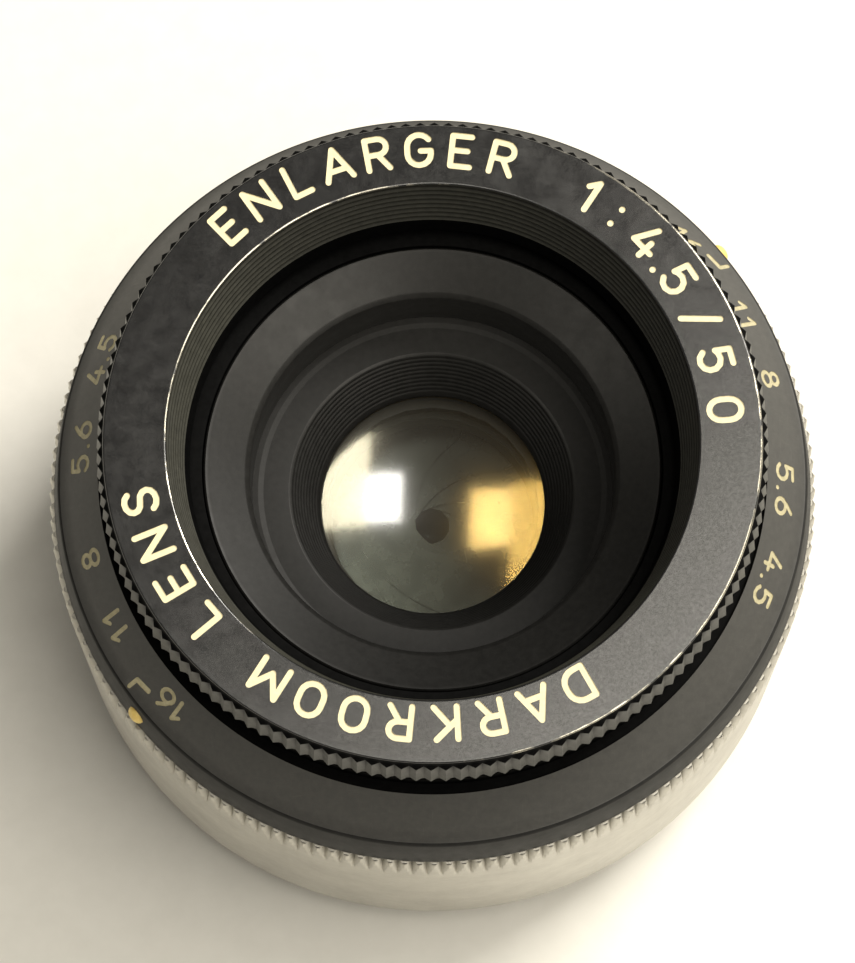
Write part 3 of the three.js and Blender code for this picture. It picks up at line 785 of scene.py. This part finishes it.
def make_inner_parts():
    """Everything that shows down the well, in front of the glass."""
    hood = turned("hood_ring_fine", [
        (9.9, 20), (12.35, 20), (12.35, HOOD_TOP - 0.12), (12.22, HOOD_TOP), (12.0, HOOD_TOP - 0.14),
        (10.15, 23.9), (9.9, 23.62),
    ], 256, [look["matt"]], round_off=0.05)
    settle(hood, "root", "matt_black", "hood_ring")
    cone = ridges((7.72, 19.7), (GLASS_RIM + 0.14, 17.1), 9, 0.05)
    cell = turned("front_cell_fine", [
        (7, 12.95), (12.3, 12.95), (12.3, CELL_TOP), (9.6, CELL_TOP), (9.3, CELL_TOP - 0.06),
        (7.9, CELL_TOP - 0.1), (7.76, CELL_TOP - 0.2), *cone, (GLASS_RIM, 16.85), (GLASS_RIM, 16.65),
        (7, 16.65),
    ], 256, [look["matt"]], round_off=0.02)
    settle(cell, "root", "matt_black", "front_cell")
    # The inner barrel is painted near-black as painted shade, down in the gap round the hood.
    barrel = turned("inner_barrel_fine", [
        (11, 2.4), (12.95, 2.4), (12.95, 7.05), (13.6, 7.05), (13.6, 25.2), (12.4, 25.2), (12.4, 12.33),
        (11.55, 12.33), (11.55, 9.4), (11, 9.4),
    ], 256, [look["painted_shade"]], round_off=0.05)
    slot_from, slot_to = 55, 124.2
    sector = bow((0, 0), (10.8, 10.8), slot_from, slot_to, 24) + bow((0, 0), (14.2, 14.2), slot_to, slot_from, 24)
    carve(barrel, [prism(sector, 9.9, 11.2)])
    settle(barrel, "root", "matt_black", "inner_barrel")
    seat = turned("iris_seat_fine", [
        (OPEN_RADIUS + 0.2, 12.4), (12.25, 12.4), (12.25, 12.88), (OPEN_RADIUS + 0.6, 12.88),
    ], 192, [look["matt"]], round_off=0.04)
    holes = [prism(bow((pin.x, pin.y), (0.35, 0.35), 0, 337.5, 15), 12, 13.3) for pin in blade_pivots()]
    carve(seat, holes)
    settle(seat, "root", "matt_black", "iris_seat_plate")


def blade_pivots():
    """Where the pivot pin of each iris blade stands."""
    return [Vector(joint["pos_m"]) / MM for joint in frame["joints"] if joint["child"].startswith("iris_blade")]


def prism(outline, bottom, top):
    """A straight-sided solid on an outline, used as a cutter."""
    count = len(outline)
    build = bmesh.new()
    corners = [(x, y, z) for z in (bottom, top) for x, y in outline]
    sides = [(k, (k + 1) % count, (k + 1) % count + count, k + count) for k in range(count)]
    add_faces(build, corners, sides + [list(range(count))[::-1], list(range(count, 2 * count))])
    return finish_mesh("cutter", build, [])


def rectangle(centre, width, depth):
    (x, y), w, d = centre, width / 2, depth / 2
    return [(x - w, y - d), (x + w, y - d), (x + w, y + d), (x - w, y + d)]


def carve(piece, cutters):
    """Cuts solids out of a piece and removes them."""
    for cutter in cutters:
        cut = piece.modifiers.new("cut", "BOOLEAN")
        cut.operation = "DIFFERENCE"
        cut.solver = "EXACT"
        cut.object = cutter
    depsgraph = bpy.context.evaluated_depsgraph_get()
    mesh = bpy.data.meshes.new_from_object(piece.evaluated_get(depsgraph))
    piece.modifiers.clear()
    piece.data = mesh
    mesh.set_sharp_from_angle(angle=math.radians(34))
    for cutter in cutters:
        bpy.data.objects.remove(cutter)


def lens_arc(vertex, curve, start, end, steps):
    """Corners along a spherical lens surface between two radii."""
    corners = []
    for radius in np.linspace(start, end, steps + 1):
        drop = abs(curve) - math.sqrt(curve ** 2 - radius ** 2)
        corners.append((radius, vertex - math.copysign(drop, curve)))
    return corners


def make_element(name, node, front, rear, radius, coats):
    """A glass element with ground edges. front and rear are (vertex height, curve radius)."""
    edge = radius - 0.12
    rear_arc = lens_arc(*rear, 0, edge, 20)
    front_arc = lens_arc(*front, edge, 0, 20)
    bevels = [(radius, rear_arc[-1][1] + 0.1), (radius, front_arc[0][1] - 0.1)]
    middle = (rear_arc[-1][1] + front_arc[0][1]) / 2

    def zone(r, z):
        if r > edge - 0.01:
            return 2
        rear_z = rear[0] - math.copysign(abs(rear[1]) - math.sqrt(rear[1] ** 2 - r ** 2), rear[1])
        return 1 if abs(z - rear_z) < 0.02 else 0

    build = bmesh.new()
    sweep(build, rear_arc + bevels + front_arc, 128, closed=False, zone=zone)
    piece = finish_mesh(name, build, [look[c] for c in coats] + [look["matt"]], 40)
    assert low(node).z < middle < high(node).z
    return settle(piece, "root", "coated_glass", node)


def make_glass():
    make_element("front_element_fine", "front_element", (17.2, 34), (14.78, -34), 6.9,
                 ("front_coat", "amber_coat"))
    make_element("middle_element_fine", "middle_element", (13.88, -42), (13.5, 60), 6.9,
                 ("clear_coat", "clear_coat"))
    make_element("rear_element_fine", "rear_element_outer", (6.87, 16), (3.3, -26), 6.2,
                 ("clear_coat", "amber_coat"))


def blade_outline():
    """The outline of a blade when the iris is open, about the optical axis."""
    tail = polar((BLADE_OUTER + OPEN_RADIUS) / 2, -BLADE_LENGTH)
    half = (BLADE_OUTER - OPEN_RADIUS) / 2
    lug = 0.7
    pin = polar(PIN_CIRCLE, -DRIVE_PIN_ANGLE)
    outline = bow((0, 0), (PIN_CIRCLE + lug,) * 2, -DRIVE_PIN_ANGLE, 0, 10)
    outline += bow(polar(PIN_CIRCLE, 0), (lug, lug), 20, 180, 8)
    outline += bow((0, 0), (OPEN_RADIUS,) * 2, -10, -BLADE_LENGTH, 48)
    outline += bow(tail, (half, half), -BLADE_LENGTH - 160, -BLADE_LENGTH - 20, 10)
    outline += bow((0, 0), (BLADE_OUTER,) * 2, -BLADE_LENGTH, -DRIVE_PIN_ANGLE - 6, 36)
    outline += bow(pin, (lug, lug), -DRIVE_PIN_ANGLE - 110, -DRIVE_PIN_ANGLE - 20, 5)
    return [np.array(p) for p in outline]


def add_rod(build, centre, radius, bottom, top, sides=20):
    """A short round pin with chamfered ends."""
    ease = min(0.05, radius / 4)
    profile = [(0, bottom), (radius - ease, bottom), (radius, bottom + ease), (radius, top - ease),
               (radius - ease, top), (0, top)]
    vertices = [(centre[0] + r * math.cos(a), centre[1] + r * math.sin(a), z)
                for r, z in profile for a in np.arange(sides) * 2 * math.pi / sides]
    faces = [(i * sides + s, i * sides + (s + 1) % sides, (i + 1) * sides + (s + 1) % sides, (i + 1) * sides + s)
             for i in range(len(profile) - 1) for s in range(sides)]
    add_faces(build, vertices, faces)


def make_blade(node, joint):
    """One blade at rest, closed down, with its pins."""
    swing = 2 * math.asin((OPEN_RADIUS - CLOSED_RADIUS) / (2 * PIN_CIRCLE))
    pivot = Vector(joint["pos_m"]) / MM
    angle = math.atan2(pivot.y, pivot.x)
    level = frame_level(node)
    thickness = 0.07
    outline = blade_outline()
    count = len(outline)
    build = bmesh.new()
    bottom = [(*p, level) for p in outline]
    top = [(*p, level + thickness) for p in outline]
    sides = [(k, (k + 1) % count, (k + 1) % count + count, k + count) for k in range(count)]
    add_faces(build, bottom + top, sides + [list(range(count))[::-1], list(range(count, 2 * count))])
    bmesh.ops.triangulate(build, faces=[f for f in build.faces if len(f.verts) > 4])
    add_rod(build, polar(PIN_CIRCLE, 0), 0.25, level + thickness / 2, 12.8)
    add_rod(build, polar(PIN_CIRCLE, -DRIVE_PIN_ANGLE), 0.25, 10.2, level + thickness / 2)
    home = Vector((PIN_CIRCLE, 0, 0)) * MM
    build.transform(
        Matrix.Rotation(angle, 4, "Z") @ Matrix.Translation(home)
        @ Matrix.Rotation(-swing, 4, "Z") @ Matrix.Translation(-home)
    )
    piece = finish_mesh(node + "_fine", build, [look["blade"]])
    return settle(piece, node, "blade_steel", node)


def frame_level(node):
    """The height of a blade's lower face: the levels rise evenly with its number."""
    lowest_level, step = 11.2, 0.11
    return lowest_level + step * (int(node[-2:]) - 1)


def make_iris():
    for joint in frame["joints"]:
        if joint["child"].startswith("iris_blade"):
            make_blade(joint["child"], joint)


def make_rear_parts():
    """What shows from behind: the cell, its retainer and the lock ring."""
    cell = turned("rear_cell_fine", [
        (7.4, 1.2), (10.6, 1.2), (10.95, 1.5), (10.95, 9.35), (5.7, 9.35), (5.7, 8.95), (6.3, 8.95),
        (6.3, 2.4), *ridges((6.45, 2.25), (7.3, 1.35), 4, -0.08),
    ], 256, [look["rear"]], round_off=0.03)
    settle(cell, "root", "black_anodised", "rear_cell")
    lock = turned("lock_ring_fine", [
        (13, 3.5), (15.2, 3.5), (15.4, 3.7), (15.4, 4.95), (13, 4.95),
    ], 192, [look["rear"]], round_off=0.05)
    carve(lock, [prism(rectangle((side * 15.2, 0), 1.4, 1.2), 3.0, 4.2) for side in (-1, 1)])
    settle(lock, "root", "black_anodised", "barrel_lock_ring")
    retainer = turned("rear_retainer_fine", [
        (5.5, 2.9), (5.6, 2.7), (6.25, 2.7), (6.25, 3.6), (5.5, 3.6),
    ], 160, [look["rear"]], round_off=0.04)
    carve(retainer, [prism(rectangle((0, 0), 18, 0.8), 2.3, 3.06)])
    settle(retainer, "root", "black_anodised", "rear_retainer")


# CAD nodes that stay as they are, with the material each takes.
KEPT_NODES = {
    "front_spacer": "matt", "middle_retainer": "matt", "rear_element_inner": "clear_coat",
    "iris_base_plate": "matt",
    "aperture_sleeve": "band", "drive_screw": "steel", "iris_drive_ring": "brass",
}


def dress_kept_nodes():
    for node, finish in KEPT_NODES.items():
        mesh = frame["nodes"][node].data
        mesh.materials.clear()
        mesh.materials.append(look[finish])


# ---------------------------------------------------------------- the stage


def area_light(name, place, target, size, radiance, colour, turn=0):
    """A soft rectangular lamp. With no target it faces straight down, turned by some degrees."""
    lamp = bpy.data.lights.new(name, "AREA")
    lamp.shape = "RECTANGLE"
    lamp.size, lamp.size_y = size
    lamp.energy = radiance * math.pi * size[0] * size[1]
    lamp.color = colour
    thing = bpy.data.objects.new(name, lamp)
    thing.location = place
    thing.rotation_euler = (0, 0, math.radians(turn))
    if target is not None:
        thing.rotation_euler = (Vector(target) - Vector(place)).to_track_quat("-Z", "Y").to_euler()
    bpy.context.scene.collection.objects.link(thing)
    return thing


def make_floor():
    """A plain pale table top."""
    mesh = bpy.data.meshes.new("floor")
    half = 3.0
    mesh.from_pydata([(-half, -half, 0), (half, -half, 0), (half, half, 0), (-half, half, 0)], [], [(0, 1, 2, 3)])
    material, tree, shader = nodes_of("floor_paper")
    fibre = ramp(tree, grain(tree, 2.0, 4), 0.3, 0.7)
    tree.links.new(blend_colour(tree, fibre, (0.86, 0.84, 0.78), (0.9, 0.88, 0.82)), shader.inputs["Base Color"])
    shader.inputs["Roughness"].default_value = 0.7
    mesh.materials.append(material)
    floor = bpy.data.objects.new("floor", mesh)
    bpy.context.scene.collection.objects.link(floor)


def make_lights():
    """A key from the upper right, a broad lamp low on the right, and two windows for the glass."""
    world = bpy.data.worlds.new("room")
    world.use_nodes = True
    world.node_tree.nodes["Background"].inputs["Color"].default_value = (1.0, 0.95, 0.86, 1)
    world.node_tree.nodes["Background"].inputs["Strength"].default_value = 0.14
    bpy.context.scene.world = world
    target = (0, 0, 0.02)
    key = area_light("key", (0.48, 0.44, 0.66), target, (0.34, 0.34), 24, (1.0, 0.96, 0.88))
    broad = area_light("broad_right", (0.257, -0.09, 0.65), None, (0.62, 0.44), 4.4, (1.0, 0.95, 0.84), -45)
    panes = [
        area_light("window_tall", (-0.2185, 0.27, 0.65), None, (0.131, 0.33), 26, (1.0, 0.94, 0.72)),
        area_light("window_pane", (-0.112, 0.175, 0.65), None, (0.08, 0.123), 45, (1, 1, 1)),
    ]
    side = area_light("well_side", (0.36, -0.3, 0.5), target, (0.5, 0.5), 6.2, (1.0, 0.94, 0.82))
    front_glass = [bpy.data.objects["front_element_fine"]]
    inner_glass = [bpy.data.objects[name] for name in ("middle_element_fine", "rear_element_fine")]
    blades = [thing for thing in bpy.data.objects if thing.name.startswith("iris_blade")]
    well = [bpy.data.objects[name] for name in ("hood_ring_fine", "front_cell_fine")]
    for pane in panes:
        light_only(pane, front_glass + blades, "INCLUDE")
    fill = area_light("well_fill", (-0.4, -0.2, 0.46), target, (0.4, 0.4), 2.4, (1.0, 0.94, 0.82))
    light_only(side, well, "INCLUDE")
    light_only(fill, well, "INCLUDE")
    for lens in front_glass:
        lens.visible_diffuse = False
        lens.visible_glossy = False
    light_only(key, front_glass + inner_glass, "EXCLUDE")
    light_only(broad, front_glass + inner_glass + blades + well, "EXCLUDE")


def light_only(lamp, pieces, state):
    """Limits which pieces a lamp lights, so that the glass mirrors the windows alone."""
    group = bpy.data.collections.new(lamp.name + "_pieces")
    for piece in pieces:
        group.objects.link(piece)
    for item in group.collection_objects:
        item.light_linking.link_state = state
    lamp.light_linking.receiver_collection = group


def make_camera():
    """A long lens, tilted towards the lower side of the front face."""
    tilt = math.radians(15.03)
    distance = 0.2094
    face = Vector((0, 0, FRONT_Z * MM))
    away = Vector((0, -math.sin(tilt), math.cos(tilt)))
    up = Vector((0, math.cos(tilt), math.sin(tilt)))
    aim = face + Vector((-0.26 * MM, 0, 0)) - up * 2.29 * MM
    data = bpy.data.cameras.new("camera")
    data.sensor_fit = "VERTICAL"
    data.sensor_height = 36
    data.lens = 149.5
    data.clip_start = 0.01
    camera = bpy.data.objects.new("camera", data)
    camera.location = face + away * distance
    camera.rotation_euler = (aim - camera.location).to_track_quat("-Z", "Y").to_euler()
    bpy.context.scene.collection.objects.link(camera)
    bpy.context.scene.camera = camera
    bpy.context.scene.view_settings.view_transform = "Standard"


make_camera()
make_floor()
make_front_ring()
make_scale_ring()
make_index_band()
make_index_dot("index_dot_left")
make_index_dot("index_dot_right")
make_mount_barrel()
make_inner_parts()
make_glass()
make_iris()
make_rear_parts()
dress_kept_nodes()
make_lights()
